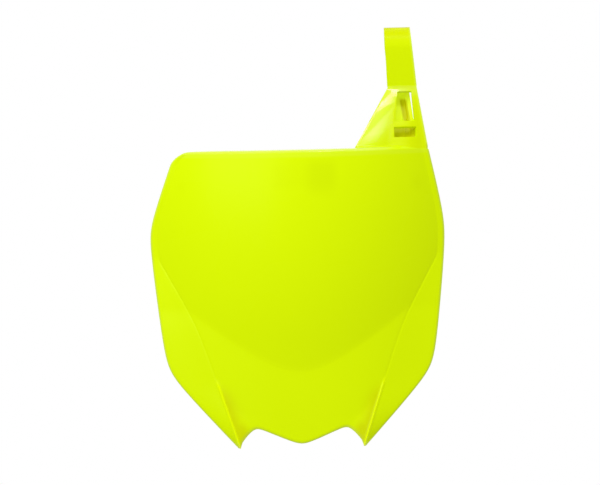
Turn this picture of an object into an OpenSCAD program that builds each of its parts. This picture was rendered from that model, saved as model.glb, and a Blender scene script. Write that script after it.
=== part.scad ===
// Front number board of a motocross bike: a curved board with a strap that loops
// back over the handlebar, moulded in one piece. X points to the viewer's right,
// Y to the back and Z up. The origin is on the handlebar's axis, in the middle of
// the strap's loop. Distances along X are measured from the board's middle line,
// and the finished board is moved to the origin last.

/* [Board] */
// Thickness of the moulded wall
wall = 2.6; // [2:0.1:3.2]
// Drop from the handlebar's axis to the board's top edge
top_drop = 80; // [74:1:90]
// Half width at the top left corner, before it is rounded
left_corner_w = 98.8; // [92:0.2:104]
// Half width at the top right, where the web goes up
right_corner_w = 108.3; // [104:0.1:112]
// Width that the rounding takes off the top left corner
corner_w = 16; // [8:1:20]
// Height that the rounding takes off the top left corner
corner_h = 12; // [8:1:18]
// Half width at the widest level, before it is rounded
widest_w = 122.9; // [116:0.1:128]
// Widest level, below the top edge
widest_down = 65.5; // [58:0.5:74]
// Half width at the shoulder, before it is rounded
shoulder_w = 109.7; // [100:0.1:114]
// Shoulder, below the top edge
shoulder_down = 179; // [170:1:186]
// Half width at the fin tips
tip_w = 52; // [48:0.2:56]
// Fin tips, below the top edge
tip_down = 240; // [234:1:250]
// Radius of the board's curve around the upright axis
bow_r = 190; // [175:5:260]
// Radius of the board's lean, seen from the side
lean_r = 620; // [500:10:900]
// Level where the board is upright, below the top edge
upright_down = 152; // [130:1:165]
// Distance of the board's foremost upright line from the handlebar's axis
board_fore = 89; // [84:0.5:96]
// Depth that the side and bottom rims are rolled back
rim_roll = 1.4; // [0.4:0.1:2]
// Width of the rolled rim
rim_w = 2.2; // [1.6:0.1:3]

/* [Creases] */
// Half width where the side crease has its knee
knee_w = 83.2; // [78:0.2:88]
// Knee of the side crease, below the top edge
knee_down = 140; // [130:1:150]
// Level where the side crease leaves the side edge, below the top edge
crease_start_down = 77; // [70:1:84]
// Half width where the side crease ends, in the fin's ridge
ridge_w = 49.6; // [46:0.2:51]
// Slope of the wings, as a share of the board's slope beside them
wing_slope = 0.62; // [0.4:0.02:1]
// Lowest level of the chin's crease, below the top edge
chin_down = 178.5; // [170:0.5:186]
// Steepness of the chin's crease beside the middle
chin_rise = 0.78; // [0.5:0.02:0.9]
// Angle by which the chin turns forward
chin_angle = 10; // [4:1:14]
// Height of the fin's ridge at its tip
fin_h = 5; // [2:0.5:7]
// Length of the fin's ridge
fin_len = 56; // [40:1:66]
// Width of the fin's inner face
fin_face = 8; // [5:0.5:12]
// Steepness of the bottom edge beside its point
point_slope = 0.449; // [0.3:0.01:0.55]
// Lowest point of the bottom edge, below the top edge
point_down = 239; // [235:0.5:246]
// Half width at the top of the notch beside the point
notch_w = 38.1; // [36:0.1:40]
// Steepness of the notch's outer side
notch_slope = 1.49; // [1.2:0.01:1.7]

/* [Top lip and web] */
// Outer radius of the top lip
lip_r = 3.2; // [3.2:0.1:4.5]
// Length of the lip behind its rounding
lip_len = 4.5; // [2:0.5:7]
// Left end of the web's foot, from the middle
web_foot_x = 48.6; // [44:0.2:54]
// Width over which the lip fades out at the right
lip_fade = 36; // [20:1:50]
// Drop from the handlebar's axis to the crease below the strap
web_head_drop = 30; // [26:0.5:34]
// Left edge of the window at its top
window_left = 84.2; // [83:0.1:86]
// Width of the window at its top
window_top_w = 11.2; // [9:0.1:12]
// Width of the window at its bottom
window_bottom_w = 15.8; // [13:0.1:16.4]
// Drift of the window's left edge to the left
window_drift = 2.3; // [0:0.1:3]
// Top of the window, below the crease
window_down = 5.4; // [3.6:0.1:6]
// Height of the window
window_h = 24; // [20:0.1:25]
// Height of the bar between the window and the slot
bridge_h = 4.7; // [4.5:0.1:8]
// Left edge of the slot
slot_left = 81; // [79:0.1:82]
// Width of the slot
slot_w = 17.8; // [15:0.1:18]
// Height of the slot
slot_h = 8.3; // [6:0.1:9]

/* [Strap] */
// Diameter of the handlebar
bar_d = 28.6; // [22.2:0.1:31.8]
// Clearance around the handlebar
bar_clear = 0.1; // [0:0.05:0.2]
// Thickness of the strap
strap_t = 2.6; // [2:0.1:3.4]
// Left edge of the strap at its top
strap_left = 74.6; // [73:0.1:75.6]
// Width of the strap over the handlebar
strap_top_w = 21.2; // [18:0.1:22]
// Width of the strap at the crease
strap_foot_w = 24.3; // [22:0.1:25]
// Drift of the strap's left edge to the right, down to the crease
strap_drift = 1.5; // [0:0.1:2.5]
// Gap between the strap's tail and the web, beside the slot
tail_gap = 1.2; // [0.6:0.1:2.5]
// Left edge of the tail at its waist, behind the window
waist_left = 77.5; // [76:0.1:79]
// Width of the tail at its waist
waist_w = 16.4; // [15:0.1:19]
// Left edge of the tail at its neck, above the slot
neck_left = 78.9; // [77.5:0.1:80]
// Width of the tail at its neck
neck_w = 17.2; // [15.4:0.1:19]
// Left edge of the tail at its end, behind the slot
tail_left = 79.8; // [79:0.1:81]
// Width of the tail at its end
tail_w = 19.6; // [18.8:0.1:21]
// Length of the tail below the slot
tail_over = 1.4; // [0.8:0.1:4]
// Width of the channel along the tail
channel_w = 4.4; // [3:0.2:6]
// Depth of the channel along the tail
channel_d = 1.2; // [0.6:0.1:1.5]

/* [Rear of the board] */
// Width of the stay's box
stay_w = 57.6; // [40:0.2:64]
// Height of the stay's box
stay_h = 25; // [18:0.5:32]
// Depth of the stay's box behind the wall
stay_d = 9; // [6:0.5:12]
// Thickness of the stay's walls
stay_t = 2.2; // [1.8:0.1:3]
// Top of the stay, below the top edge
stay_down = 8; // [7:0.5:12]
// Middle of the stay, from the middle of the board
stay_x = 7.5; // [0:0.5:9]
// Width of the stay's foot rib
foot_w = 27; // [18:0.5:34]
// Height of the stay's foot rib
foot_h = 14; // [8:0.5:18]
// Distance of the side pegs from the middle
peg_x = 98.5; // [94:0.5:100]
// Side pegs, below the top edge
peg_down = 28.5; // [24:0.5:34]
// Diameter of the side pegs
peg_d = 6; // [4:0.2:8]
// Length of the side pegs behind the wall
peg_len = 7; // [4:0.5:10]

/* [Hidden] */
$fn = 96;
plastic = [0.84, 0.95, 0.03];
top_z = -top_drop;
head_z = -web_head_drop;
loop_r = bar_d / 2 + bar_clear;
strap_y = -loop_r - strap_t;
strap_right = strap_left + strap_top_w;
head_left = strap_left + strap_drift;
head_right = head_left + strap_foot_w;
outer_r = loop_r + strap_t;
loop_mid = mix(strap_left + strap_right, strap_left + head_right,
    outer_r / (web_head_drop + outer_r)) / 2;

// Rounding of the outline's corners, and of the chin's crease
side_round = 6;
shoulder_round = 9.8;
notch_round = 4;
point_round = 2;
crease_round = 4;
chin_round = 26;
chin_soft = 5;
edge_band = 2.5;

// Grid of the board: columns from left to right, rows from the web down
panel_half = 13;
wing_cols = 2;
body_rows = 25;
web_rows = 6;
foot_col_at = 6;
panel_last = 2 * panel_half;
cols = panel_last + 2 * (wing_cols + 2);
foot_col = wing_cols + 2 + panel_half + foot_col_at;
fade_down = 70;
blend_len = 85;

function soft_min(a, b, e) = (a + b - sqrt((a - b) * (a - b) + e * e)) / 2;
function soft_max(a, b, e) = (a + b + sqrt((a - b) * (a - b) + e * e)) / 2;
function mix(a, b, s) = a + (b - a) * s;
function clamp01(s) = min(1, max(0, s));
function ease(s) = let (c = clamp01(s)) c * c * (3 - 2 * c);
function line_at(w0, d0, w1, d1, d) = mix(w0, w1, (d - d0) / (d1 - d0));

// Half widths at a level d below the top edge. side is -1 on the left, 1 on the right
function corner_cut(d) = let (k = clamp01(1 - d / corner_h)) corner_w * (1 - sqrt(1 - k * k));
function upper_edge(d, side) = side < 0
    ? line_at(left_corner_w, 0, widest_w, widest_down, d) - corner_cut(d)
    : line_at(right_corner_w, 0, widest_w, widest_down, d);
function lower_edge(d) = soft_min(
    line_at(widest_w, widest_down, shoulder_w, shoulder_down, d),
    line_at(shoulder_w, shoulder_down, tip_w, tip_down, d), shoulder_round);
function is_peak(side) = (widest_w - (side < 0 ? left_corner_w : right_corner_w)) / widest_down
    > (shoulder_w - widest_w) / (shoulder_down - widest_down);
function edge_w(d, side) = is_peak(side)
    ? soft_min(upper_edge(d, side), lower_edge(d), side_round)
    : soft_max(upper_edge(d, side), lower_edge(d), side_round);
function crease_line(d) = soft_max(
    line_at(edge_w(crease_start_down, 1), crease_start_down, knee_w, knee_down, d),
    line_at(knee_w, knee_down, ridge_w, tip_down, d), crease_round);
function crease_w(d, side) = d > (tip_down + shoulder_down) / 2
    ? crease_line(d)
    : soft_min(crease_line(d), edge_w(d, side) - edge_band * rim_w, 1);

// The bottom edge's level at a distance x from the middle
function bottom_down(x) = let (
    point = point_down + point_round - sqrt(point_round * point_round
        + point_slope * point_slope * x * x),
    notch = point_down + point_round - point_slope * notch_w + notch_slope * (x - notch_w))
    soft_max(point, notch, notch_round);

// The front surface: bow, lean, chin, wings and fins
function bow(x) = bow_r - sqrt(bow_r * bow_r - x * x);
function bow_slope(x) = x / sqrt(bow_r * bow_r - x * x);
function lean(d) = lean_r - sqrt(lean_r * lean_r - pow(min(0, d - upright_down), 2));
function chin(x, d) = let (
    level = chin_down + chin_round - sqrt(chin_round * chin_round
        + chin_rise * chin_rise * x * x))
    tan(chin_angle) * soft_max(d - level, 0, chin_soft);
function fin(x, c, e, d) = let (h = fin_h * ease((d - tip_down + fin_len) / fin_len))
    x < c ? h * clamp01(1 - (c - x) / fin_face) : h * clamp01((e - x) / (e - c));
function front_y(x, d, c, e) = let (a = abs(x), p = min(a, c))
    -board_fore + lean(d) + bow(p) + wing_slope * bow_slope(c) * (a - p)
    - chin(p, d) - fin(a, c, e, d);

// Lip: how much of it is left at x, and its angle
lean_top = asin(upright_down / lean_r);
lip_angle = 84;
lip_least = 0.15;
function lip_share(x) = max(lip_least, 1 - ease((x - right_corner_w + lip_fade) / lip_fade));
function lip_turn(x) = mix(lean_top, lip_angle, lip_share(x));
inner_r = 0.8;
head_inset = 0.2;
head_lap = 0.3;
head_rise = [0, 1.2, 2.4];
face_top = lip_r * (sin(lip_angle) - sin(lean_top)) + lip_len * cos(lip_angle);

// Levels of the face's rows, with close rows at the rounded corner and the rolled rim
body_first = face_top + corner_h;
face_rows = concat(
    [face_top, face_top + corner_h * 0.25, face_top + corner_h * 0.6],
    [for (i = [0:body_rows]) mix(body_first, tip_down, i / body_rows)]);
roll_rows = [0.35, 1];
blend_from = tip_down - blend_len;

// Share of the way across, for a column
function panel_u(j) = (j - wing_cols - 2 - panel_half) / panel_half;
function column_x(j, d) = let (
    side = j < cols / 2 ? -1 : 1,
    e = edge_w(d, side), c = crease_w(d, side),
    roll = min(rim_w, (e - c) / 2),
    k = j < cols / 2 ? wing_cols + 2 - j : j - cols + wing_cols + 2,
    flat = mix(c, e - roll, k / wing_cols),
    pull = (web_foot_x - panel_u(foot_col) * crease_w(0, 1))
        * clamp01(1 - abs(j - foot_col) / foot_col_at) * (1 - ease(d / fade_down)))
    k <= 0 ? panel_u(j) * c + pull
    : side * (k <= wing_cols ? flat : k == wing_cols + 1 ? e - roll * 0.3 : e);
function roll_y(j) = j == 0 || j == cols ? rim_roll : j == 1 || j == cols - 1 ? rim_roll * 0.3 : 0;

// A point of the face, with the bottom rows drawn up to the bottom edge
function face_point(j, row, roll) = let (
    side = j < cols / 2 ? -1 : 1,
    x = column_x(j, row),
    c = crease_w(row, side),
    draw = ease((row - blend_from) / (tip_down - blend_from)),
    u = min(1, abs(x) / c) * ridge_w,
    d = row + draw * (bottom_down(u) - bottom_down(ridge_w)))
    [x, front_y(x, d, c, edge_w(row, side)) + max(roll_y(j), roll), top_z - d];
function face_back(p) = p + [0, wall * sqrt(1 + pow(bow_slope(min(abs(p[0]), knee_w)), 2)), 0];

// Points of the lip and the web above the face's top row, at column j
function tip_of(p, a, w) = p + w * [0, cos(a) * sqrt(1 + pow(bow_slope(p[0]), 2)), -sin(a)];
function lip_start(j, z) = let (x = column_x(j, z)) [x, front_y(x, face_top,
    crease_w(face_top, sign(x)), edge_w(face_top, sign(x))), top_z - face_top];
function turned(p, a, b, r) = p + r * [0, cos(a) - cos(b), sin(b) - sin(a)];
function lip_mid(j) = let (p = lip_start(j, face_top / 2), b = lip_turn(p[0]))
    turned(p, lean_top, mix(lean_top, b, 0.5), lip_r);
function lip_front(j) = let (p = lip_start(j, 0), b = lip_turn(p[0])) turned(p, lean_top, b, lip_r);
function lip_rear(j) = let (p = lip_front(j), b = lip_turn(p[0]),
    left = mix(0.3, 1, ease((p[0] + left_corner_w - corner_w) / corner_w)))
    p + lip_len * lip_share(p[0]) * left * [0, sin(b), cos(b)];
function web_angle(j) = let (p = lip_rear(j)) atan((strap_y - p[1]) / (head_z - p[2]));
function web_foot(j) = let (p = lip_rear(j)) turned(p, web_angle(j), lip_turn(p[0]), inner_r);
function head_x(j) = let (s = (lip_rear(j)[0] - web_foot_x) / (right_corner_w - web_foot_x))
    mix(head_left + head_inset, head_right - head_inset, s);
function web_point(j, s) = let (f = web_foot(j), h = [head_x(j), strap_y, head_z])
    [mix(f[0], h[0], pow(s, 0.9)), mix(f[1], h[1], s), mix(f[2], h[2], s)];

// Pairs of front and back points, row by row
web_steps = [for (i = [web_rows:-1:1]) i / web_rows];
key_rows = concat(
    [[for (j = [0:cols]) let (p = web_point(max(j, foot_col), 1))
        [p + head_rise, [p[0], -loop_r - head_lap, p[2] + head_rise[2]]]]],
    [for (s = web_steps) [for (j = [0:cols]) let (k = max(j, foot_col), p = web_point(k, s))
        [p, p + wall * [0, cos(web_angle(k)), -sin(web_angle(k))]]]],
    [[for (j = [0:cols]) let (k = max(j, foot_col), p = web_foot(k))
        [p, tip_of(p, web_angle(k), wall)]]],
    [[for (j = [0:cols]) let (p = lip_rear(j)) [p, tip_of(p, lip_turn(p[0]), wall)]]],
    [[for (j = [0:cols]) let (p = lip_front(j)) [p, tip_of(p, lip_turn(p[0]), wall)]]],
    [[for (j = [0:cols]) let (p = lip_mid(j))
        [p, tip_of(p, mix(lean_top, lip_turn(p[0]), 0.5), wall)]]],
    [[for (j = [0:cols]) let (p = face_point(j, face_rows[0], 0))
        [p, tip_of(p, lean_top, wall)]]],
    [for (i = [1:len(face_rows) - 2]) [for (j = [0:cols])
        let (p = face_point(j, face_rows[i], 0)) [p, face_back(p)]]],
    [for (s = roll_rows) let (row = mix(face_rows[len(face_rows) - 1] - rim_w, tip_down, s))
        [for (j = [0:cols]) let (p = face_point(j, row, s * s * rim_roll)) [p, face_back(p)]]]);
rows = len(key_rows) - 1;
first_full = web_rows + 2;

function is_wall(i, j) = i >= 0 && i < rows && j >= 0 && j < cols && (i >= first_full || j >= foot_col);
function front_at(i, j) = i * (cols + 1) + j;
function back_at(i, j) = (rows + 1 + i) * (cols + 1) + j;
function two(a, b, c, d) = [[a, b, c], [a, c, d]];

module shell_and_web() {
    cells = [for (i = [0:rows - 1]) for (j = [0:cols - 1]) if (is_wall(i, j)) [i, j]];
    polyhedron(
        points = concat([for (r = key_rows) for (p = r) p[0]], [for (r = key_rows) for (p = r) p[1]]),
        faces = [for (c = cells) let (
                i = c[0], j = c[1],
                f0 = front_at(i, j), f1 = front_at(i, j + 1),
                f2 = front_at(i + 1, j + 1), f3 = front_at(i + 1, j),
                b0 = back_at(i, j), b1 = back_at(i, j + 1),
                b2 = back_at(i + 1, j + 1), b3 = back_at(i + 1, j))
            each concat(
                two(f0, f1, f2, f3), two(b3, b2, b1, b0),
                is_wall(i - 1, j) ? [] : two(f0, b0, b1, f1),
                is_wall(i + 1, j) ? [] : two(f2, b2, b3, f3),
                is_wall(i, j - 1) ? [] : two(f3, b3, b0, f0),
                is_wall(i, j + 1) ? [] : two(f1, b1, b2, f2))]);
}

// Turns a side view, drawn with Y across and Z up, into a solid along X
module along_x(x0, x1) {
    translate([x0, 0, 0]) rotate([90, 0, 90]) linear_extrude(x1 - x0) children();
}

// Turns a front view, drawn with X across and Z up, into a solid along Y
module along_y(y0, y1) {
    translate([0, y1, 0]) rotate([90, 0, 0]) linear_extrude(y1 - y0) children();
}

// The tail runs straight from the bend to a point close behind the web's slot
slot_top = head_z - window_down - window_h - bridge_h;
slot_bottom = slot_top - slot_h;
web_edge = web_point(cols, 0);
slot_level = (head_z - slot_bottom) / (head_z - web_edge[2]);
aim_y = mix(strap_y, web_edge[1], slot_level) + wall / cos(web_angle(cols)) + tail_gap;
tail_tilt = asin(loop_r / norm([aim_y, slot_bottom])) - atan2(aim_y, -slot_bottom);
tail_end_z = slot_bottom - tail_over;
tail_len = (-tail_end_z - loop_r * sin(tail_tilt)) / cos(tail_tilt);
strap_lap = 1.5;
reach = 3 * outer_r;

module ring_view() {
    difference() {
        circle(r = outer_r);
        circle(r = loop_r);
    }
}

module front_leg_view() {
    translate([strap_y, head_z - strap_lap]) square([strap_t, web_head_drop + strap_lap]);
    intersection() {
        ring_view();
        translate([-reach, 0]) square([2 * reach, reach]);
    }
}

module tail_view() {
    intersection() {
        rotate(-tail_tilt) {
            translate([loop_r, -tail_len]) square([strap_t, tail_len]);
            intersection() {
                ring_view();
                square(reach);
            }
        }
        translate([-2 * reach, -2 * reach]) square([4 * reach, 2 * reach]);
    }
}

module channel_view() {
    rotate(-tail_tilt) translate([loop_r, -tail_len]) square([channel_d, tail_len - channel_end]);
}

// Front views of the two legs, which share their sides at the axis
module front_leg_outline() {
    low = head_z - strap_lap;
    polygon([
        [strap_left, outer_r], [strap_right, outer_r], [axis_right, 0],
        [side_at(strap_right, head_right, low), low],
        [side_at(strap_left, head_left, low), low], [axis_left, 0]]);
}

// Front view of the tail, from its left edge and width at the axis, waist, neck and end
module tail_outline(x0, w0, x1, w1, x2, w2, x3, w3) {
    polygon([
        [x0, 0], [x0 + w0, 0], [x1 + w1, waist_z], [x2 + w2, neck_z], [x3 + w3, flare_z],
        [x3 + w3, tail_end_z], [x3, tail_end_z], [x3, flare_z], [x2, neck_z], [x1, waist_z]]);
}

function side_at(top, foot, z) = mix(top, foot, (outer_r - z) / (web_head_drop + outer_r));
axis_left = side_at(strap_left, head_left, 0);
axis_right = side_at(strap_right, head_right, 0);
waist_z = head_z - window_down;
neck_z = waist_z - window_h;
flare_z = neck_z - bridge_h / 2;
channel_shift = 0.7;
channel_left = waist_left + (waist_w - channel_w) * channel_shift;
channel_drift = (neck_left + neck_w - waist_left - waist_w) / window_h;
function channel_at(z) = channel_left + (waist_z - z) * channel_drift;
channel_end = 3;

module strap() {
    intersection() {
        along_x(strap_left - strap_t, head_right + strap_t) front_leg_view();
        along_y(-reach, reach) front_leg_outline();
    }
    difference() {
        intersection() {
            along_x(strap_left - strap_t, head_right + strap_t) tail_view();
            along_y(2 * strap_y, reach) tail_outline(
                axis_left, axis_right - axis_left, waist_left, waist_w,
                neck_left, neck_w, tail_left, tail_w);
        }
        intersection() {
            along_x(strap_left, head_right) channel_view();
            along_y(3 * strap_y, reach) polygon([
                [channel_at(0), 0], [channel_at(0) + channel_w, 0],
                [channel_at(tail_end_z) + channel_w, tail_end_z - strap_t],
                [channel_at(tail_end_z), tail_end_z - strap_t]]);
        }
    }
}

// Cuts through the web: the window above its bridge, and the slot below it
module web_openings() {
    window_top = head_z - window_down;
    window_bottom = window_top - window_h;
    low_left = window_left - window_drift;
    along_y(3 * strap_y, 0) {
        polygon([
            [window_left, window_top], [window_left + window_top_w, window_top],
            [low_left + window_bottom_w, window_bottom], [low_left, window_bottom]]);
        translate([slot_left, slot_bottom]) square([slot_w, slot_h]);
    }
}

// Local frame on the front face at x and a level d, with Y into the wall
module on_face(x, d) {
    side = sign(x);
    translate([x, front_y(x, d, crease_w(d, side), edge_w(d, side)), top_z - d])
        rotate([-asin((upright_down - d) / lean_r), 0, 0]) children();
}

module round_rect(w, h, r) {
    square([w - 2 * r, h], center = true);
    square([w, h - 2 * r], center = true);
    for (x = [-1, 1], y = [-1, 1]) translate([x * (w / 2 - r), y * (h / 2 - r)]) circle(r = r);
}

// Open box behind the top of the board, with a short rib below it
stay_round = 4;
module stay() {
    on_face(stay_x, stay_down + stay_h / 2) intersection() {
        along_y(-wall, wall + stay_d) {
            difference() {
                round_rect(stay_w, stay_h, stay_round);
                round_rect(stay_w - 2 * stay_t, stay_h - 2 * stay_t, stay_round - stay_t);
            }
            translate([0, stay_t - stay_h / 2]) difference() {
                polygon([[0, 0], [foot_w, 0], [foot_w / 2, -foot_h - stay_t]]);
                polygon([
                    [2 * stay_t, -stay_t], [foot_w - 2 * stay_t, -stay_t],
                    [foot_w / 2, -foot_h + stay_t]]);
            }
        }
        translate([-stay_x, bow_r - bow(stay_x), -2 * stay_h])
            cylinder(r = bow_r - wall / 2, h = 4 * stay_h);
    }
}

module side_pegs() {
    for (side = [-1, 1]) on_face(side * peg_x, peg_down)
        rotate([0, 0, side * atan(bow_slope(peg_x))]) translate([0, wall / 2, 0])
            rotate([-90, 0, 0]) cylinder(d = peg_d, h = wall / 2 + peg_len);
}

module number_board() {
    color(plastic) translate([-loop_mid, 0, 0]) {
        difference() {
            shell_and_web();
            web_openings();
        }
        strap();
        stay();
        side_pegs();
    }
}

number_board();
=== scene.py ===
import math

import bmesh
import bpy
from mathutils import Matrix, Vector


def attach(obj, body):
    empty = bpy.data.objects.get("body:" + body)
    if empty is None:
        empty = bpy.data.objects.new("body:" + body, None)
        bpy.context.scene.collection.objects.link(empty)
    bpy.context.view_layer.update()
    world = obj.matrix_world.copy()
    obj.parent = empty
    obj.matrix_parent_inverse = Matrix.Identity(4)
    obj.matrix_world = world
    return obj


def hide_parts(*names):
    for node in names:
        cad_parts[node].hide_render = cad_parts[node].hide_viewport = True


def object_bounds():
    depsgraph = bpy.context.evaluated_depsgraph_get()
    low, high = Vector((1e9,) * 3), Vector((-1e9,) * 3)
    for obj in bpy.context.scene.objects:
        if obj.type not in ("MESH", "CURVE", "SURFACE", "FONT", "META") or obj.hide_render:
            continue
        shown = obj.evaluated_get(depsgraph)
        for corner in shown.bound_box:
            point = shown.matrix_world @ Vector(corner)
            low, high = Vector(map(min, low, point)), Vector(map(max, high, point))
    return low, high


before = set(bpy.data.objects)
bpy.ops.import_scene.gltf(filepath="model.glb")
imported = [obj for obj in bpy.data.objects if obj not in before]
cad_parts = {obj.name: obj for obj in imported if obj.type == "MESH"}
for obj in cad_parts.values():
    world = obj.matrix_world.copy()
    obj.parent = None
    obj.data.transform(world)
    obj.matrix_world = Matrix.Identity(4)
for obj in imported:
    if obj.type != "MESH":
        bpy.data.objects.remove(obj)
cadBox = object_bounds()
mm = 0.001

# All sizes are in mm. x runs right from the board's middle line, y back, z up from the bar's axis,
# and a level d is measured down from the board's top edge.
board = {
    "wall": 2.6, "topDrop": 80.0, "loopMid": 86.032,
    "leftCorner": 98.8, "rightCorner": 108.3, "cornerWide": 16.0, "cornerHigh": 12.0,
    "widest": 122.9, "widestDown": 65.5, "shoulder": 109.7, "shoulderDown": 179.0,
    "tip": 52.0, "tipDown": 240.0,
    "bowRadius": 190.0, "leanRadius": 620.0, "uprightDown": 152.0, "fore": 89.0,
    "rimRoll": 1.4, "rimWide": 2.2, "rimLow": 0.035, "rimBevel": 0.5, "rimCuts": 3, "sharp": 50.0,
    "sideRound": 6.2, "shoulderRound": 9.9, "straightLong": 50.0,
}
crease = {
    "knee": 83.2, "kneeDown": 140.0, "startDown": 77.0, "ridge": 49.6, "wingSlope": 0.62,
    "edgeBand": 5.5, "bandSoft": 1.0, "round": 4.0,
    "groove": 0.22, "grooveWide": 0.9, "grooveRise": 20.0, "grooveFade": 6.0,
    "squeezeWide": 6.0, "squeezeShare": 0.9, "squeezeEnd": 3.0,
    "chinDown": 178.5, "chinRise": 0.78, "chinAngle": 10.0, "chinRound": 26.0, "chinSoft": 1.5,
    "chinGuess": 131.0, "chinRounds": 12,
    "finHigh": 4.3, "finLong": 56.0, "finFace": 7.0, "finSoft": 0.12,
    "finSpread": 15.5, "finSpreadDown": 206.0, "finSpreadLong": 17.9, "rib": 0.9, "ribRise": 8.0,
    "pointSlope": 0.449, "pointRound": 2.8,
    "notch": 36.5, "notchSlope": 0.628, "notchCurve": 0.0333, "notchRound": 3.2,
    "tipStep": 2.58, "tipWide": 1.3,
}
lip = {"radius": 3.2, "long": 4.5, "leftLeast": 0.3, "angle": 84.0, "least": 0.15, "fade": 36.0}
web = {
    "footLeft": 48.6, "footRadius": 0.8, "footReach": 1.3, "footOver": 2.0, "pullLong": 60.0,
    "headZ": -32.4, "headSoft": 0.8, "headInset": 0.2, "ruling": 0.9, "rulingRounds": 3,
    "windowTop": -35.4, "windowBottom": -59.4, "windowLeft": (84.2, 81.2), "windowRight": (95.7, 98.1),
    "slotTop": -64.1, "slotBottom": -72.4, "slotLeft": 80.6, "slotRight": 99.1,
}
strap = {
    "bore": 14.4, "thick": 2.6, "tilt": 33.6,
    "topLeft": 74.6, "topRight": 95.8, "footLeft": 76.1, "footRight": 100.4,
    "waistLeft": 77.5, "waistRight": 93.9, "waistZ": -35.4,
    "neckLeft": 78.9, "neckRight": 96.8, "neckZ": -59.4, "flareZ": -61.8,
    "tailLeft": 79.8, "tailRight": 99.4, "tailZ": -73.8,
    "channelDeep": 1.2, "channelSlope": 0.35, "channelStart": 3.0, "channelEnd": 1.5,
    "channelColumns": (37, 41), "channelNear": 0.2,
}
# How finely the sheet is cut: crease steps and levels in mm, rim steps as shares of the rim's width
sheet = {
    "creaseSteps": (2.4, 1.6, 1.0, 0.5, 0.0, -0.5, -1.0, -1.6), "rimSteps": (1.0, 0.82, 0.6, 0.38, 0.18),
    "panelHalf": 42, "wingCells": 7, "footColumn": 20, "windowColumn": 34,
    "tailRows": 46, "bendRows": 44, "legLevels": (0, -4, -8, -12, -16, -20, -24, -27, -29, -30, -30.7),
    "headLevels": (-31.2, -31.7, -32.3, -33.1, -34.1), "windowRows": 14,
    "bridgeLevels": (-61, -62.6), "slotRows": 5, "baseRows": 5, "footRows": 4, "lipRows": 3, "arcRows": 7,
    "upperRows": 78, "upperSpread": 0.62, "lowerRows": 44, "lowRimSteps": (1.0, 0.7, 0.42, 0.18, 0.0),
}


def mix(a, b, s):
    return a + (b - a) * s


def between(a, b, s0, s1, s):
    return mix(a, b, (s - s0) / (s1 - s0))


def clamp01(s):
    return min(1.0, max(0.0, s))


def ease(s):
    c = clamp01(s)
    return c * c * (3 - 2 * c)


def softMin(a, b, e):
    return (a + b - math.sqrt((a - b) ** 2 + e * e)) / 2


def softMax(a, b, e):
    return (a + b + math.sqrt((a - b) ** 2 + e * e)) / 2


topZ = -board["topDrop"]
outerR = strap["bore"] + strap["thick"]
strapY = -outerR
headLeft, headRight = strap["footLeft"] + web["headInset"], strap["footRight"] - web["headInset"]
finStart = board["tipDown"] - crease["finLong"]
leanTop = math.asin(board["uprightDown"] / board["leanRadius"])
lipAngle = math.radians(lip["angle"])
faceTop = lip["radius"] * (math.sin(lipAngle) - math.sin(leanTop)) + lip["long"] * math.cos(lipAngle)


# Outline and creases, as half widths at a level d
def edgeAt(d, side):
    b = board
    upper = between(b["rightCorner"] if side > 0 else b["leftCorner"], b["widest"], 0, b["widestDown"], d)
    if side < 0:
        k = clamp01(1 - d / b["cornerHigh"])
        upper -= b["cornerWide"] * (1 - math.sqrt(1 - k * k))
    lower = softMin(between(b["widest"], b["shoulder"], b["widestDown"], b["shoulderDown"], d),
                    between(b["shoulder"], b["tip"], b["shoulderDown"], b["tipDown"], d), b["shoulderRound"])
    return softMin(upper, lower, b["sideRound"])


def creaseAt(d, side):
    c = crease
    line = softMax(between(edgeAt(c["startDown"], 1), c["knee"], c["startDown"], c["kneeDown"], d),
                   between(c["knee"], c["ridge"], c["kneeDown"], board["tipDown"], d), c["round"])
    if d > (board["tipDown"] + board["shoulderDown"]) / 2:
        return line
    return softMin(line, edgeAt(d, side) - c["edgeBand"], c["bandSoft"])


def bottomAt(x):  # the bottom edge's rise and fall: middle point, notch and the ridge's blunt tip
    c = crease
    point = -math.hypot(c["pointRound"], c["pointSlope"] * x)
    t = x - c["notch"]
    side = c["notchSlope"] * t + c["notchCurve"] * t * abs(t) - c["pointSlope"] * c["notch"]
    step = c["tipStep"] * clamp01(1 - (c["ridge"] - x) / c["tipWide"])
    return softMax(point, side, c["notchRound"]) + step


def chinLevel(x):
    return crease["chinDown"] + crease["chinRound"] - math.hypot(crease["chinRound"], crease["chinRise"] * x)


# The front face: bowed, leaning back at the top, with a chin, two flatter wings and two fins
def bow(x):
    return board["bowRadius"] - math.sqrt(board["bowRadius"] ** 2 - x * x)


def bowSlope(x):
    return x / math.sqrt(board["bowRadius"] ** 2 - x * x)


def finAt(a, c, e, d):
    high = crease["finHigh"] * ease((d - finStart) / crease["finLong"])
    if a >= c:
        return high * clamp01((e - a) / (e - c))
    spread = ease((d - crease["finSpreadDown"]) / crease["finSpreadLong"])
    face = mix(crease["finFace"], crease["finSpread"], spread)
    return high * softMax(0, 1 - (c - a) / face, crease["finSoft"]) / softMax(0, 1, crease["finSoft"])


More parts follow.
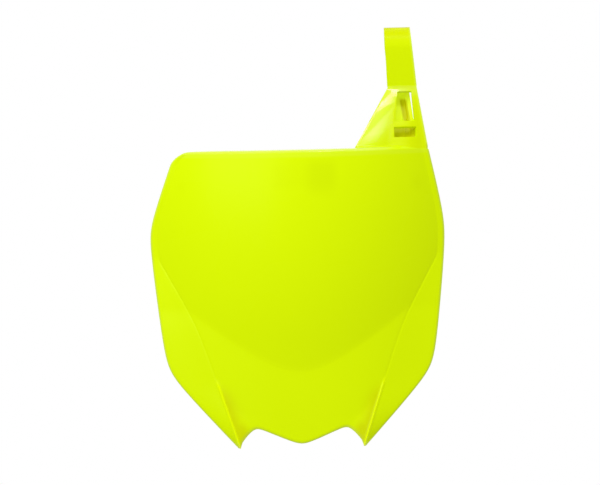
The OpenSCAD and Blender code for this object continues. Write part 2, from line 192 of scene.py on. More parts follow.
def frontY(x, d):
    side = -1 if x < 0 else 1
    a, c, e = abs(x), creaseAt(d, side), edgeAt(d, side)
    p = min(a, c)
    leanR = board["leanRadius"]
    y = -board["fore"] + leanR - math.sqrt(leanR ** 2 - min(0, d - board["uprightDown"]) ** 2)
    y += bow(p) + crease["wingSlope"] * bowSlope(c) * (a - p)
    y -= math.tan(math.radians(crease["chinAngle"])) * softMax(d - chinLevel(p), 0, crease["chinSoft"])
    y -= finAt(a, c, e, d)
    near = math.exp(-((a - c) / crease["grooveWide"]) ** 2)
    grooved = ease((d - crease["startDown"]) / crease["grooveRise"])
    grooved *= 1 - ease((d - finStart) / crease["grooveFade"])
    return y + near * (crease["groove"] * grooved - crease["rib"] * ease((d - finStart) / crease["ribRise"]))


# Columns of the sheet: rim, wing, crease, panel, crease, wing, rim
half, wings = sheet["panelHalf"], sheet["wingCells"]
leftColumns = ([("rim", -1, s) for s in sheet["rimSteps"]] + [("wing", -1, 1 - k / wings) for k in range(wings)]
               + [("crease", -1, s) for s in sheet["creaseSteps"]])
columns = (leftColumns + [("panel", 1, j / half) for j in range(-half, half + 1)]
           + [(zone, 1, s) for zone, side, s in reversed(leftColumns)])
middleColumn = len(leftColumns) + half
footColumn = middleColumn + sheet["footColumn"]
windowColumn = middleColumn + sheet["windowColumn"]
windowEnd = middleColumn + half
rimStart = len(columns) - 1 - len(sheet["rimSteps"])


def columnX(j, d):
    zone, side, s = columns[j]
    if zone == "panel":
        side = -1 if s < 0 else 1
    e, c = edgeAt(d, side), creaseAt(d, side)
    roll = min(board["rimWide"], (e - c) / 2)
    k = mix(clamp01((e - c) / crease["squeezeEnd"]), clamp01((e - roll - c) / crease["squeezeWide"]),
            crease["squeezeShare"])
    inset = sheet["creaseSteps"][0] * k
    if zone == "rim":
        return side * (e - roll * (1 - s))
    if zone == "wing":
        return side * mix(c + inset, max(e - roll, c + inset), s)
    if zone == "crease":
        return side * (c + s * k)
    return s * (c - inset)


def pulledX(j, d):  # at the top, the columns right of the middle meet the web and its two openings
    x = columnX(j, d)
    if j <= middleColumn or columns[j][0] == "rim":
        return x
    marks = [(middleColumn, 0.0), (footColumn, web["footLeft"]), (windowColumn, web["slotLeft"]),
             (windowEnd, web["slotRight"])]
    if j <= windowEnd:
        for (j0, x0), (j1, x1) in zip(marks, marks[1:]):
            if j <= j1:
                pulled = between(x0, x1, j0, j1, j)
                break
    else:
        rimX = columnX(rimStart, d)
        pulled = between(web["slotRight"], rimX, columnX(windowEnd, d), rimX, x)
    return mix(pulled, x, ease(d / web["pullLong"]))


# Lip along the top edge, fading out at the right
def lipShare(x):
    return max(lip["least"], 1 - ease((x - board["rightCorner"] + lip["fade"]) / lip["fade"]))


def lipTurn(x):
    return mix(leanTop, lipAngle, lipShare(x))


def turned(p, a, b, r):
    return (p[0], p[1] + r * (math.cos(a) - math.cos(b)), p[2] + r * (math.sin(b) - math.sin(a)))


def lipPoint(x, s):
    a = mix(leanTop, lipTurn(x), s)
    return turned((x, frontY(x, faceTop), topZ - faceTop), leanTop, a, lip["radius"])


def lipRear(x, s):
    p, b = lipPoint(x, 1), lipTurn(x)
    left = mix(lip["leftLeast"], 1, ease((x + board["leftCorner"] - board["cornerWide"]) / board["cornerWide"]))
    n = lip["long"] * lipShare(x) * left
    n = (n - min(0.5 * n, web["footRadius"])) * s
    return (x, p[1] + n * math.sin(b), p[2] + n * math.cos(b))


def footCorner(x):  # where the lip and the web would meet without their fillet
    p, b = lipRear(x, 1), lipTurn(x)
    return (x, p[1] + web["footRadius"] * math.sin(b), p[2] + web["footRadius"] * math.cos(b))


def footPoint(x, s):  # fillet between the lip and the web, s = 1 at the web
    p0, p1 = lipRear(x, 1), footCorner(x)
    a = math.atan((strapY - p1[1]) / (web["headZ"] - p1[2]))
    p2 = (x, p1[1] + web["footReach"] * math.sin(a), p1[2] + web["footReach"] * math.cos(a))
    return tuple(mix(mix(u, v, s), mix(v, w, s), s) for u, v, w in zip(p0, p1, p2))


def webPoint(j, z):  # straight rulings from the foot's curve to the strap's straight head
    x = acrossWeb(j, z, webSide(-1, z), webSide(1, z))
    zf, yf, s = topZ, 0, 0
    narrow = (headRight - headLeft) / (board["rightCorner"] - web["footLeft"])
    for k in range(web["rulingRounds"]):
        s = (z - zf) / (web["headZ"] - zf)
        t = max(0.0, s) ** web["ruling"]
        xf = (x - t * (headLeft - narrow * web["footLeft"])) / ((1 - t) + t * narrow)
        xf = min(max(xf, web["footLeft"] - web["footOver"]), board["rightCorner"] + web["footOver"])
        yf, zf = footCorner(xf)[1:]
    y = mix(yf, strapY, s)
    return (x, softMin(strapY, y, web["headSoft"]), z)


def webSide(side, z):
    x, head = (web["footLeft"], headLeft) if side < 0 else (edgeAt(0, 1), headRight)
    zf = footPoint(x, 1)[2]
    return mix(x, head, clamp01((z - zf) / (web["headZ"] - zf)))


def acrossWeb(j, z, left, right):
    w = web
    if z >= w["windowBottom"]:
        k = clamp01((w["windowTop"] - z) / (w["windowTop"] - w["windowBottom"]))
        x0, x1 = mix(*w["windowLeft"], k), mix(*w["windowRight"], k)
    else:
        k = clamp01((w["windowBottom"] - z) / (w["windowBottom"] - w["slotTop"]))
        x0, x1 = mix(w["windowLeft"][1], w["slotLeft"], k), mix(w["windowRight"][1], w["slotRight"], k)
    if j <= windowColumn:
        return between(left, x0, footColumn, windowColumn, j)
    if j <= windowEnd:
        return between(x0, x1, windowColumn, windowEnd, j)
    inner, outer = columnX(windowEnd, 0), columnX(rimStart, 0)
    if j <= rimStart:
        return between(x1, right - board["rimWide"], inner, outer, columnX(j, 0))
    return right - board["rimWide"] * (1 - columns[j][2])


# The strap goes up from the web's head, over the bar and down again behind the web
def strapSides(z, rear):
    s = strap
    if not rear or z > 0:
        k = (outerR - z) / (outerR - web["headZ"])
        return mix(s["topLeft"], s["footLeft"], k), mix(s["topRight"], s["footRight"], k)
    l0, r0 = strapSides(0, False)
    if z > s["waistZ"]:
        return between(l0, s["waistLeft"], 0, s["waistZ"], z), between(r0, s["waistRight"], 0, s["waistZ"], z)
    if z > s["neckZ"]:
        return (between(s["waistLeft"], s["neckLeft"], s["waistZ"], s["neckZ"], z),
                between(s["waistRight"], s["neckRight"], s["waistZ"], s["neckZ"], z))
    k = ease((s["neckZ"] - z) / (s["neckZ"] - s["flareZ"]))
    return mix(s["neckLeft"], s["tailLeft"], k), mix(s["neckRight"], s["tailRight"], k)


headSides = webSide(-1, web["headZ"]), webSide(1, web["headZ"])
headShare = [between(0, 1, *headSides, acrossWeb(max(j, footColumn), web["headZ"], *headSides))
             for j in range(len(columns))]


def strapPoint(j, y, z, rear):
    left, right = strapSides(z, rear)
    return (mix(left, right, headShare[j]), y, z)


# Rows of the sheet, from the tail's end over the bar, down the web and the board
tilt = math.radians(strap["tilt"])
tailStart = (outerR * math.cos(-tilt), outerR * math.sin(-tilt))
tailLong = (-strap["tailZ"] + strap["bore"] * math.sin(-tilt)) / math.cos(tilt)
n = sheet["tailRows"]
rows = [("tail", tailLong * (1 - k / n)) for k in range(n)]
n = sheet["bendRows"]
rows += [("bend", mix(-tilt, math.pi, k / n)) for k in range(n)]
rows += [("leg", z) for z in sheet["legLevels"]]
rows += [("web", z) for z in sheet["headLevels"]]
n = sheet["windowRows"]
windowRows = range(len(rows), len(rows) + n)
rows += [("web", mix(web["windowTop"], web["windowBottom"], k / n)) for k in range(n + 1)]
rows += [("web", z) for z in sheet["bridgeLevels"]]
n = sheet["slotRows"]
slotRows = range(len(rows), len(rows) + n)
rows += [("web", mix(web["slotTop"], web["slotBottom"], k / n)) for k in range(n + 1)]
n = sheet["baseRows"]
rows += [("base", k / n) for k in range(1, n)]
n = sheet["footRows"]
rows += [("foot", 1 - k / n) for k in range(n)]
firstFull = len(rows)
for kind in ("lip", "arc"):
    n = sheet[kind + "Rows"]
    rows += [(kind, 1 - k / n) for k in range(n)]
n = sheet["upperRows"]
rows += [("upper", mix((k / n) ** 2, k / n, sheet["upperSpread"])) for k in range(n)]
n = sheet["lowerRows"]
rows += [("lower", (1 - board["rimLow"]) * k / n) for k in range(n)]
rows += [("lower", 1 - board["rimLow"] * s) for s in sheet["lowRimSteps"]]

arcLevel = crease["chinGuess"]  # the level at which the chin's arc meets the crease
for k in range(crease["chinRounds"]):
    arcLevel = chinLevel(creaseAt(arcLevel, 1))


def rimAt(j, kind, s):  # how far a point of the front has come out to the rolled rim
    zone, _, share = columns[j]
    rim = share ** 2 if zone == "rim" else 0
    return max(rim, clamp01((s - 1 + board["rimLow"]) / board["rimLow"]) ** 2) if kind == "lower" else rim


def facePoint(j, kind, s):
    upper = kind == "upper"
    nominal = mix(faceTop, arcLevel, s) if upper else mix(arcLevel, board["tipDown"], s)
    x = pulledX(j, nominal)
    u = min(1.0, abs(x) / creaseAt(nominal, -1 if x < 0 else 1))
    arc = chinLevel(u * creaseAt(arcLevel, 1))
    if upper:
        d = mix(faceTop, arc, s)
    else:
        low = board["tipDown"] + bottomAt(u * crease["ridge"]) - bottomAt(crease["ridge"])
        d = mix(arc, low, s)
    x = pulledX(j, d) if u >= 1 and upper else x
    return (x, frontY(x, d) + board["rimRoll"] * rimAt(j, kind, s), topZ - d)


def place(i, j):
    kind, s = rows[i]
    if i < firstFull:
        j = max(j, footColumn)
    if kind == "tail":
        return strapPoint(j, tailStart[0] - s * math.sin(tilt), tailStart[1] - s * math.cos(tilt), True)
    if kind == "bend":
        y, z = outerR * math.cos(s), outerR * math.sin(s)
        return strapPoint(j, y, z, y > 0)
    if kind == "leg":
        return strapPoint(j, strapY, s, False)
    if kind == "web":
        return webPoint(j, s)
    if kind == "base":
        foot = footPoint(pulledX(j, 0), 1)
        return webPoint(j, mix(web["slotBottom"], foot[2], s))
    if kind in ("upper", "lower"):
        return facePoint(j, kind, s)
    x = pulledX(j, faceTop * (1 - s) if kind == "arc" else 0)
    x, y, z = {"foot": footPoint, "lip": lipRear, "arc": lipPoint}[kind](x, s)
    return (x, y + board["rimRoll"] * rimAt(j, kind, s), z)


# Painted light on the sheet's points: a pale painted sheen (rim), polish for the coat (shine), painted shade
# (shade) and a painted glow (lit)
painted = {
    "edgeShade": 0.45,
    "ribWide": 0.95, "ribRise": 6.0, "ribLit": 0.9, "ribShade": 0.5, "ribShadeWide": 8.0, "ribShadeRise": 20.0,
    "cornerDown": 212.7, "cornerLong": 14.0, "cornerWide": 10.0, "cornerFull": 1.6,
    "lipEnd": 67.0, "lipFade": 15.0, "lipDim": 0.15, "arcShine": 1.6, "arcPale": (0.25, 0.9),
    "belowLip": 0.02, "belowPale": 0.12,
    "webShade": 0.22, "shineIn": 0.1, "shineLow": 0.3, "shineFoot": -77.0, "shineLong": 9.0, "headShine": 6.0,
    "headPale": 0.9, "headPaleUp": 0.5, "headPaleLong": 3.0, "headPaleCells": 8,
    "strapShade": 0.13, "bendShade": 0.3, "bendRise": 1.5, "bendFrom": 0.2,
    "topShade": 0.4, "topFrom": 0.93, "topLong": 0.05,
    "channelShade": 0.85, "channelZ": -40.5, "channelX": 88.5, "channelDrift": 0.165, "channelHalf": 3.5,
    "channelSoft": 1.3, "channelRise": 3.0, "behindShade": 0.8, "behindRise": 2.5,
    "tailPale": 0.5, "tailPaleEnd": -62.0, "tailPaleLong": 24.0, "frontShare": 0.4,
}


def finMarks(x, d):  # painted highlight on the fin's thin ridge, and painted shade in the corner inside it
    m = painted
    away = creaseAt(d, -1 if x < 0 else 1) - abs(x)
    ridge = math.exp(-(away / m["ribWide"]) ** 2) * ease((d - finStart) / m["ribRise"])
    if away < 0:
        return ridge, 0
    # painted shade along the fin's inner side, with more in the corner near the notch
    deep = ease((d - finStart) / m["ribShadeRise"]) * math.exp(-(away / m["ribShadeWide"]) ** 2)
    corner = ease((d - m["cornerDown"]) / m["cornerLong"]) * ease(m["cornerFull"] - away / m["cornerWide"])
    return ridge, (1 - ridge) * m["ribShade"] * max(deep, corner)


def marksAt(i, j, x, z):  # the painted sheen, polish, painted shade and painted glow at a point of the front
    m = painted
    kind, s = rows[i]
    rim = rimAt(j, kind, s)
    outer = rim == 1 or j in (0, len(columns) - 1) or (i < firstFull and j <= footColumn)
    shine = lit = 0
    shade = m["strapShade"] if kind in ("leg", "bend") else 0
    if kind == "lower":
        ridge, shade = finMarks(x, topZ - z)
        lit = m["ribLit"] * ridge
    # painted highlight: the lip and its arc get a pale band and more polish, dimmer towards the right
    if kind in ("arc", "lip"):
        pale = 1 - ease((x - m["lipEnd"]) / m["lipFade"])
        shine = (1 if kind == "lip" else ease(s * m["arcShine"])) * mix(m["lipDim"], 1, pale)
        rim = max(rim, (mix(*m["arcPale"], s) if kind == "arc" else 1) * pale)
    # painted highlight: a faint pale line just below the lip
    if kind == "upper" and s < m["belowLip"]:
        rim = max(rim, m["belowPale"])
    # painted shade over the web's right part, and polish on its left part
    if kind in ("web", "base", "foot"):
        across = (j - footColumn) / (windowColumn - footColumn)
        shine = mix(m["shineLow"], 1, ease((z - m["shineFoot"]) / m["shineLong"]))
        shine *= 1 - ease(across - m["shineIn"])
        shade = m["webShade"] * ease(across)
    if kind == "web":
        shine = max(shine, ease((s - web["windowTop"] + m["headShine"]) / m["headShine"]))
        # painted highlight: a pale band on the web just above the window
        if j > windowColumn:
            near = 1 - clamp01(abs(s - web["windowTop"] - m["headPaleUp"]) / m["headPaleLong"])
            rim = max(rim, near * m["headPale"] * ease((windowEnd - j) / m["headPaleCells"]))
    # outer edges get a painted dark outline
    return rim, shine, max(shade, m["edgeShade"] * outer), lit


def tailMarks(x, z):  # painted shade in the channel and on what lies behind the slot, a pale painted sheen on the tail beside the channel, fading downwards, and a painted glow where it is not shaded
    m = painted
    away = x - m["channelX"] - (m["channelZ"] - z) * m["channelDrift"]
    deep = ease((m["channelHalf"] - abs(away)) / m["channelSoft"])
    deep *= ease((m["channelZ"] - z) / m["channelRise"])
    below = ease((strap["flareZ"] + m["behindRise"] - z) / m["behindRise"])
    shade = max(deep * m["channelShade"], below * m["behindShade"])
    return m["tailPale"] * (1 - deep) * ease((z - m["tailPaleEnd"]) / m["tailPaleLong"]), shade, 1 - shade


def isWall(i, j):
    if i < firstFull and j < footColumn:
        return False
    return not ((i in windowRows or i in slotRows) and windowColumn <= j < windowEnd)


def toFrame(p):
    return Vector(((p[0] - board["loopMid"]) * mm, p[1] * mm, p[2] * mm))


def finishMesh(bm, name):
    mesh = bpy.data.meshes.new(name)
    bm.to_mesh(mesh)
    bm.free()
    piece = bpy.data.objects.new(name, mesh)
    bpy.context.scene.collection.objects.link(piece)
    for face in mesh.polygons:
        face.use_smooth = True
    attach(piece, "root")
    return piece


def cutChannel(bm):  # shallow channel along the tail's front side
    outward = Vector((0, math.cos(tilt), -math.sin(tilt)))
    downward = Vector((0, -math.sin(tilt), -math.cos(tilt)))
    c0, c1 = (headShare[middleColumn + c] for c in strap["channelColumns"])
    floor = []
    for face in bm.faces:
        p = face.calc_center_median() / mm
        onFront = abs(p.dot(outward) - strap["bore"]) <= strap["channelNear"]
        left, right = strapSides(p.z, True)
        if (onFront and strap["channelStart"] < p.dot(downward) < tailLong - strap["channelEnd"]
                and c0 < (p.x + board["loopMid"] - left) / (right - left) < c1):
            floor.append(face)
    bmesh.ops.inset_region(bm, faces=floor, thickness=strap["channelSlope"] * mm, use_even_offset=True)
    deep = {v for f in floor for v in f.verts}
    bmesh.ops.translate(bm, verts=list(deep), vec=outward * strap["channelDeep"] * mm)


def straighten(bm, spot):  # below the lip the wall's thickness runs straight back, as it leaves the mould
    front = {}
    for vert in sorted(bm.verts, key=lambda v: v.co.y):
        i, j = divmod(vert[spot] - 1, len(columns))
        if rows[i][0] not in ("upper", "lower"):
            continue
        if vert[spot] not in front:
            front[vert[spot]] = vert.co.copy()
            continue
        p = front[vert[spot]]
        x = p.x / mm + board["loopMid"]
        steep = bowSlope(min(abs(x), crease["knee"]))
        behind = p + Vector((0, board["wall"] * math.sqrt(1 + steep * steep) * mm, 0))
        vert.co = vert.co.lerp(behind, ease((topZ - p.z / mm) / board["straightLong"]))


def roundEdges(bm, angle, wide, segments):
    sharp = [e for e in bm.edges if len(e.link_faces) == 2 and e.calc_face_angle() > math.radians(angle)]
    bmesh.ops.bevel(bm, geom=sharp, offset=wide * mm, offset_type="OFFSET", affect="EDGES",
                    segments=segments, profile=0.5, material=-1, clamp_overlap=True)


def buildBoard():
    acrossCells, downCells = len(columns) - 1, len(rows) - 1
    bm = bmesh.new()
    spot = bm.verts.layers.int.new("spot")
    placed = bm.verts.layers.float_vector.new("placed")
    rim, shine, shade, lit = (bm.verts.layers.float.new(name) for name in ("rim", "shine", "shade", "lit"))
    bmesh.ops.create_grid(bm, x_segments=acrossCells, y_segments=downCells, size=1.0)
    unwanted = []
    for face in bm.faces:
        centre = face.calc_center_median()
        j = int((centre.x + 1) / 2 * acrossCells)
        i = int((1 - centre.y) / 2 * downCells)
        if not isWall(i, j):
            unwanted.append(face)
    bmesh.ops.delete(bm, geom=unwanted, context="FACES")
    for vert in bm.verts:
        j = round((vert.co.x + 1) / 2 * acrossCells)
        i = round((1 - vert.co.y) / 2 * downCells)
        x, y, z = place(i, j)
        vert.co = vert[placed] = toFrame((x, y, z))
        vert[spot] = i * len(columns) + j + 1
        vert[rim], vert[shine], vert[shade], vert[lit] = marksAt(i, j, x, z)
    bm.normal_update()
    bmesh.ops.solidify(bm, geom=bm.faces[:], thickness=board["wall"] * mm)
    straighten(bm, spot)
    cutChannel(bm)
    roundEdges(bm, board["sharp"], board["rimBevel"], board["rimCuts"])
    m = painted
    for vert in bm.verts:
        kind, s = rows[(vert[spot] - 1) // len(columns)]
        if (vert.co - vert[placed]).length < board["wall"] * m["frontShare"] * mm:
            if kind == "bend":
                bent = m["bendShade"] * ease(math.sin(s) * m["bendRise"] - m["bendFrom"])
                top = m["topShade"] * ease((math.sin(s) - m["topFrom"]) / m["topLong"])
                vert[shade] = max(vert[shade], m["strapShade"] + bent + top)
            continue
        vert[shine] = vert[shade] = 0
        if kind == "tail":
            marks = tailMarks(vert.co.x / mm + board["loopMid"], vert.co.z / mm)
            vert[rim], vert[shade], vert[lit] = marks
    bm.verts.layers.int.remove(spot)
    bm.verts.layers.float_vector.remove(bm.verts.layers.float_vector["placed"])
    piece = finishMesh(bm, "moulded_board")
    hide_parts("number_board")
    return piece


boardPiece = buildBoard()
print("board and strap:", len(boardPiece.data.polygons), "faces")

# Rear of the board: an open box that takes the fork clamp's stay, its foot rib and two side pegs
rear = {
    "stayWide": 57.6, "stayHigh": 25.0, "stayDeep": 9.0, "stayRound": 4.0, "stayWall": 2.2,
    "stayDown": 8.0, "stayX": 7.5, "footWide": 27.0, "footHigh": 16.2,
    "footLess": 0.05, "longEdge": 8.0, "edgeCuts": 7, "roundCuts": 6,
    "pegX": 98.5, "pegDown": 28.5, "pegWide": 6.0, "pegLong": 7.0, "pegSides": 40,
    "soften": 0.45, "softCuts": 2, "sharp": 60.0,
}


def leanAt(d):
    return math.asin((board["uprightDown"] - d) / board["leanRadius"])


def ribRing(corners, rounding, deep, name):  # a closed rib that stands up from the board's back
    x0, d0 = rear["stayX"], rear["stayDown"] + rear["stayHigh"] / 2
    lean = leanAt(d0)
    bm = bmesh.new()
    face = bm.faces.new([bm.verts.new((x, 0, z)) for x, z in corners])
    if rounding:
        bmesh.ops.bevel(bm, geom=list(face.verts), offset=rounding, offset_type="OFFSET", affect="VERTICES",
                        segments=rear["roundCuts"], profile=0.5, material=-1)
        face = bm.faces[:][0]
    bmesh.ops.subdivide_edges(bm, edges=[e for e in face.edges if e.calc_length() > rear["longEdge"]],
                              cuts=rear["edgeCuts"])
    inner = bm.faces[:][0]
    bmesh.ops.inset_individual(bm, faces=[inner], thickness=rear["stayWall"], use_even_offset=True)
    bmesh.ops.delete(bm, geom=[inner], context="FACES")
    raised = bmesh.ops.extrude_face_region(bm, geom=bm.faces[:], use_keep_orig=True)["geom"]
    top = [v for v in raised if isinstance(v, bmesh.types.BMVert)]
    bmesh.ops.translate(bm, verts=top, vec=(0, board["wall"] + deep, 0))
    base = frontY(x0, d0)
    for v in bm.verts:
        y = base + v.co.y * math.cos(lean) + v.co.z * math.sin(lean)
        z = topZ - d0 - v.co.y * math.sin(lean) + v.co.z * math.cos(lean)
        if v not in top:
            y = frontY(x0 + v.co.x, topZ - z) + board["wall"] / 2
        v.co = toFrame((x0 + v.co.x, y, z))
    bmesh.ops.recalc_face_normals(bm, faces=bm.faces)
    roundEdges(bm, rear["sharp"], rear["soften"], rear["softCuts"])
    return finishMesh(bm, name)


w, h = rear["stayWide"] / 2, rear["stayHigh"] / 2
stayPiece = ribRing([(-w, -h), (w, -h), (w, h), (-w, h)], rear["stayRound"], rear["stayDeep"], "stay_box")
low = rear["stayWall"] - h
footCorners = [(0, low), (rear["footWide"] / 2, low - rear["footHigh"]), (rear["footWide"], low)]
footPiece = ribRing(footCorners, 0, rear["stayDeep"] - rear["footLess"], "stay_foot")

bm = bmesh.new()
for side in (-1, 1):
    x, d = side * rear["pegX"], rear["pegDown"]
    long = board["wall"] / 2 + rear["pegLong"]
    radius = rear["pegWide"] / 2 * mm
    made = bmesh.ops.create_cone(bm, cap_ends=True, segments=rear["pegSides"], radius1=radius,
                                 radius2=radius, depth=long * mm)["verts"]
    bmesh.ops.translate(bm, verts=made, vec=(0, 0, (long / 2 + board["wall"] / 2) * mm))
    spin = Matrix.Rotation(-leanAt(d), 4, "X") @ Matrix.Rotation(math.atan(bowSlope(x)), 4, "Z")
    laid = spin @ Matrix.Rotation(math.radians(-90), 4, "X")
    bmesh.ops.transform(bm, matrix=Matrix.Translation(toFrame((x, frontY(x, d), topZ - d))) @ laid, verts=made)
roundEdges(bm, rear["sharp"], rear["soften"], rear["softCuts"])
pegPiece = finishMesh(bm, "side_pegs")
for piece in (stayPiece, footPiece, pegPiece):
    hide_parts("number_board")
print("rear: stay box, foot rib, side pegs")

# Camera at the photograph's angle
camera = {"turn": 0.0, "rise": 2.0, "roll": -1.3, "distance": 5000.0, "pixel": 0.811, "across": 600,
          "aim": (-86.032, -70.0, -152.9), "shift": (2.3, -3.2), "sensor": 36.0, "clip": (0.05, 60.0)}
cam = bpy.data.cameras.new("camera")
cameraPiece = bpy.data.objects.new("camera", cam)
bpy.context.scene.collection.objects.link(cameraPiece)
bpy.context.scene.camera = cameraPiece
cam.sensor_width = camera["sensor"]
cam.lens = camera["sensor"] * camera["distance"] / (camera["across"] * camera["pixel"])
turn, rise = math.radians(camera["turn"]), math.radians(camera["rise"])
back = Vector((math.sin(turn) * math.cos(rise), -math.cos(turn) * math.cos(rise), math.sin(rise)))
facing = (-back).to_track_quat("-Z", "Y").to_matrix() @ Matrix.Rotation(math.radians(camera["roll"]), 3, "Z")
aim = Vector(camera["aim"]) * mm
offset = facing @ Vector((*camera["shift"], 0)) * camera["pixel"] * mm
cameraPiece.rotation_mode = "QUATERNION"
cameraPiece.rotation_quaternion = facing.to_quaternion()
cameraPiece.location = aim + offset + back * camera["distance"] * mm
cam.clip_start, cam.clip_end = camera["clip"]

# Plastic: fluorescent yellow with faint flow marks from the mould, fine scratches and rougher rims, with light
# painted over it: a faint painted glow, painted shade, a pale painted sheen and the painted shade of the stay
# behind the wall
plastic = {
    # the rim's tint is a pale painted sheen, the shade tint is painted shade, the tint behind is painted shade
    # of the stay and pegs seen through the wall, and the glow is a painted glow
    "base": (0.585, 0.80, 0.0), "flowTint": (0.555, 0.765, 0.0), "rimSheenTint": (0.57, 0.72, 0.12),
    "shadeTint": (0.44, 0.42, 0.0), "ghostShadeTint": (0.52, 0.71, 0.0),
    "glow": (1.0, 0.92, 0.0), "glowLevel": 0.25, "glowShare": 0.4,
    "rough": 0.24, "roughFlow": 0.07, "roughScratch": 0.15, "roughRim": 0.12,
    "specular": 0.035, "coatRough": 0.09, "shine": 0.9, "shineCloud": (0.4, 0.8),
    "flowScale": 9.0, "flowShare": 0.5, "flowStretch": (1.0, 0.6, 0.35), "flowDetail": 3.0, "flowBend": 0.6,
    "flowSpread": (2.2, -0.6), "cloudScale": 2.6, "cloudDetail": 1.0, "cloudSpread": (2.0, -0.5),
    "grainScale": 900.0, "grainDetail": 2.0, "grainBump": 0.05, "grainDeep": 0.0002,
    "scratchScale": 55.0, "scratchShare": 0.35, "scratchTip": 0.2, "scratchThin": 0.006,
    "scratchRuns": ((0.35, 0.05), (-0.9, 0.07), (1.35, 0.04)), "scratchDepth": 0.3,
    "patchScale": 30.0, "patchSpread": (5.0, -2.6),
    "rimShare": 0.7, "rimCloud": (0.5, 0.75), "ghostCloud": (0.9, 0.55),
    "ghosts": ((7.5, -100.5, 52.0, 21.0, 7.0, 0.16), (20.0, -103.0, 22.0, 28.0, 9.0, 0.31),
               (98.5, -109.0, 7.0, 12.0, 9.0, 0.4), (-95.0, -109.0, 4.0, 4.0, 6.0, 0.3)),
}


def newGroup(name, scale, outputs):
    group = bpy.data.node_groups.new(name, "ShaderNodeTree")
    group.interface.new_socket(name="Vector", in_out="INPUT", socket_type="NodeSocketVector")
    socket = group.interface.new_socket(name="Scale", in_out="INPUT", socket_type="NodeSocketFloat")
    socket.default_value = scale
    for label in outputs:
        group.interface.new_socket(name=label, in_out="OUTPUT", socket_type="NodeSocketFloat")
    return group, group.nodes.new("NodeGroupInput"), group.nodes.new("NodeGroupOutput")


def mathNode(tree, operation, a, b, c=None, clamp=False):
    node = tree.nodes.new("ShaderNodeMath")
    node.operation = operation
    node.use_clamp = clamp
    for k, value in enumerate((a, b, c)):
        if isinstance(value, (int, float)):
            node.inputs[k].default_value = value
        elif value is not None:
            tree.links.new(value, node.inputs[k])
    return node.outputs[0]


def mixColours(tree, share, a, b):
    node = tree.nodes.new("ShaderNodeMix")
    node.data_type = "RGBA"
    for socket, value in ((node.inputs[0], share), (node.inputs[6], a), (node.inputs[7], b)):
        if isinstance(value, (int, float)):
            socket.default_value = value
        elif isinstance(value, tuple):
            socket.default_value = (*value, 1)
        else:
            tree.links.new(value, socket)
    return node.outputs[2]


def flowGroup():  # broad streaks where the melt ran through the mould
    group, start, end = newGroup("flowMarks", plastic["flowScale"], ("Flow", "Cloud"))
    stretch = group.nodes.new("ShaderNodeMapping")
    stretch.inputs["Scale"].default_value = plastic["flowStretch"]
    streaks = group.nodes.new("ShaderNodeTexNoise")
    streaks.inputs["Detail"].default_value = plastic["flowDetail"]
    streaks.inputs["Distortion"].default_value = plastic["flowBend"]
    cloud = group.nodes.new("ShaderNodeTexNoise")
    cloud.inputs["Detail"].default_value = plastic["cloudDetail"]
    links = group.links
    links.new(start.outputs["Vector"], stretch.inputs["Vector"])
    links.new(stretch.outputs["Vector"], streaks.inputs["Vector"])
    links.new(start.outputs["Scale"], streaks.inputs["Scale"])
    links.new(start.outputs["Vector"], cloud.inputs["Vector"])
    links.new(mathNode(group, "MULTIPLY", start.outputs["Scale"], plastic["cloudScale"]), cloud.inputs["Scale"])
    for label, noise, spread in (("Flow", streaks, "flowSpread"), ("Cloud", cloud, "cloudSpread")):
        spreadOut = mathNode(group, "MULTIPLY_ADD", noise.outputs["Fac"], *plastic[spread], clamp=True)
        links.new(spreadOut, end.inputs[label])
    return group


def scratchGroup():  # hairline scratches in a few directions, broken up by noise
    group, start, end = newGroup("hairScratches", plastic["scratchScale"], ("Scratches",))
    lines = []
    for angle, stretch in plastic["scratchRuns"]:
        turn = group.nodes.new("ShaderNodeMapping")
        turn.inputs["Rotation"].default_value = (plastic["scratchTip"], angle, 0)
        turn.inputs["Scale"].default_value = (1.0, plastic["scratchDepth"], stretch)
        cells = group.nodes.new("ShaderNodeTexVoronoi")
        cells.feature = "DISTANCE_TO_EDGE"
        group.links.new(start.outputs["Vector"], turn.inputs["Vector"])
        group.links.new(turn.outputs["Vector"], cells.inputs["Vector"])
        group.links.new(start.outputs["Scale"], cells.inputs["Scale"])
        lines.append(mathNode(group, "LESS_THAN", cells.outputs["Distance"], plastic["scratchThin"]))
    patches = group.nodes.new("ShaderNodeTexNoise")
    patches.inputs["Scale"].default_value = plastic["patchScale"]
    group.links.new(start.outputs["Vector"], patches.inputs["Vector"])
    both = mathNode(group, "MAXIMUM", mathNode(group, "MAXIMUM", lines[0], lines[1]), lines[2])
    here = mathNode(group, "MULTIPLY_ADD", patches.outputs["Fac"], *plastic["patchSpread"], clamp=True)
    group.links.new(mathNode(group, "MULTIPLY", both, here), end.inputs["Scratches"])
    return group


def ghostShadeMask(tree, position, cloud):  # painted shade: what stands behind the wall shows through as a darker, blurred patch
    xyz = tree.nodes.new("ShaderNodeSeparateXYZ")
    tree.links.new(position, xyz.inputs[0])

    def band(value, middle, half, soft):
        away = mathNode(tree, "ABSOLUTE", mathNode(tree, "SUBTRACT", value, middle), 0)
        return mathNode(tree, "MULTIPLY_ADD", away, -1 / soft, (half + soft / 2) / soft, clamp=True)

    total = None
    for x, z, wide, high, soft, level in plastic["ghosts"]:
        columnMask = band(xyz.outputs[0], (x - board["loopMid"]) * mm, wide / 2 * mm, soft * mm)
        rowMask = band(xyz.outputs[2], z * mm, high / 2 * mm, soft * mm)
        patch = mathNode(tree, "MULTIPLY", mathNode(tree, "MULTIPLY", columnMask, rowMask), level)
        total = patch if total is None else mathNode(tree, "ADD", total, patch)
    blur = mathNode(tree, "MULTIPLY_ADD", cloud, *plastic["ghostCloud"])
    return mathNode(tree, "MULTIPLY", total, blur, clamp=True)


